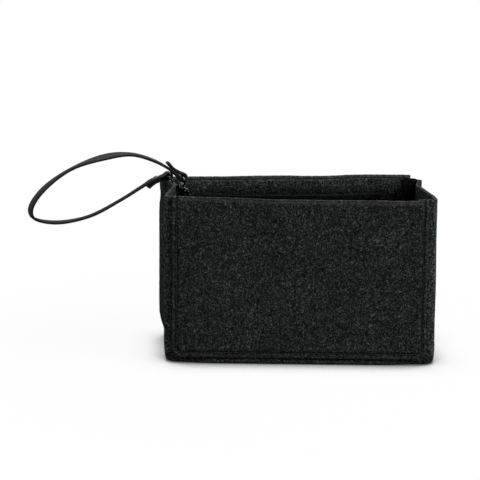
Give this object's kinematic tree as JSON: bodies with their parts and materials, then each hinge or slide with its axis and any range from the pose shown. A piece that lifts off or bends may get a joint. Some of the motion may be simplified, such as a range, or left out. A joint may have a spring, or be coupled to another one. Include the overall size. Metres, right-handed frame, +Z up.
{
  "type": "organizer pouch",
  "caption": "Open-top felt organizer pouch with creased side gussets, an inner slip pocket and a riveted wrist strap on swivel snap clasps.",
  "frame": {"origin": "on the floor under the middle of the pouch: halfway between the front side folds, and halfway between the front face and the mean line of the back folds", "axes": "+X along the front panel to the right as the picture shows it (the strap lies towards -X), +Y from the front panel to the back panel, +Z up"},
  "size_m": [0.3894, 0.126, 0.1934],
  "materials": {
    "charcoal_felt": "matte wool-type felt, mottled charcoal with lighter fibre flecks",
    "inner_felt": "matte thinner felt, charcoal",
    "strap_leather": "matte dark grey synthetic leather with darker cut edges",
    "chrome": "polished bright nickel or chrome plating",
    "spring_steel": "drawn spring wire"
  },
  "bodies": {
    "pouch": {"front_panel": "charcoal_felt", "back_panel": "charcoal_felt", "left_gusset": "charcoal_felt", "right_gusset": "charcoal_felt", "base_panel": "charcoal_felt", "slip_pocket": "inner_felt", "ring_tab": "inner_felt"},
    "ring": {"anchor_ring": "chrome"},
    "strap": {"wrist_strap": "strap_leather", "lower_rivet_cap": "chrome", "lower_rivet_back": "chrome", "upper_rivet_cap": "chrome", "upper_rivet_back": "chrome", "lower_swivel_eye": "chrome", "upper_swivel_eye": "chrome"},
    "lower_clasp": {"lower_hook": "chrome", "lower_gate_pin": "chrome", "lower_gate_spring": "spring_steel"},
    "lower_clasp_gate": {"lower_gate": "chrome"},
    "upper_clasp": {"upper_hook": "chrome", "upper_gate_pin": "chrome", "upper_gate_spring": "spring_steel"},
    "upper_clasp_gate": {"upper_gate": "chrome"}
  },
  "joints": [
    {"name": "ring_swing", "type": "hinge", "parent": "pouch", "child": "ring", "pos_m": [-0.12284, 0.02396, 0.14078], "axis": [-0.3554, 0.9347, 0], "range_deg": [0, 25]},
    {"name": "strap_swing", "type": "hinge", "parent": "ring", "child": "strap", "pos_m": [-0.11564, 0.03226, 0.14328], "axis": [-0.3554, 0.9347, 0], "range_deg": [0, 75]},
    {"name": "lower_swivel", "type": "hinge", "parent": "strap", "child": "lower_clasp", "pos_m": [-0.11564, 0.03226, 0.14328], "axis": [-0.4674, -0.1777, 0.866], "range_deg": [-12, 12]},
    {"name": "upper_swivel", "type": "hinge", "parent": "strap", "child": "upper_clasp", "pos_m": [-0.11044, 0.02311, 0.14048], "axis": [-0.1301, -0.0495, 0.9903], "range_deg": [-12, 12]},
    {"name": "lower_gate_turn", "type": "hinge", "parent": "lower_clasp", "child": "lower_clasp_gate", "pos_m": [-0.11739, 0.03159, 0.15352], "axis": [-0.3554, 0.9347, 0], "range_deg": [0, 25], "stiffness_Nm_per_rad": 0.01, "springref_deg": -17.19},
    {"name": "upper_gate_turn", "type": "hinge", "parent": "upper_clasp", "child": "upper_clasp_gate", "pos_m": [-0.10848, 0.02385, 0.15067], "axis": [-0.3554, 0.9347, 0], "range_deg": [0, 25], "stiffness_Nm_per_rad": 0.01, "springref_deg": -17.19}
  ]
}
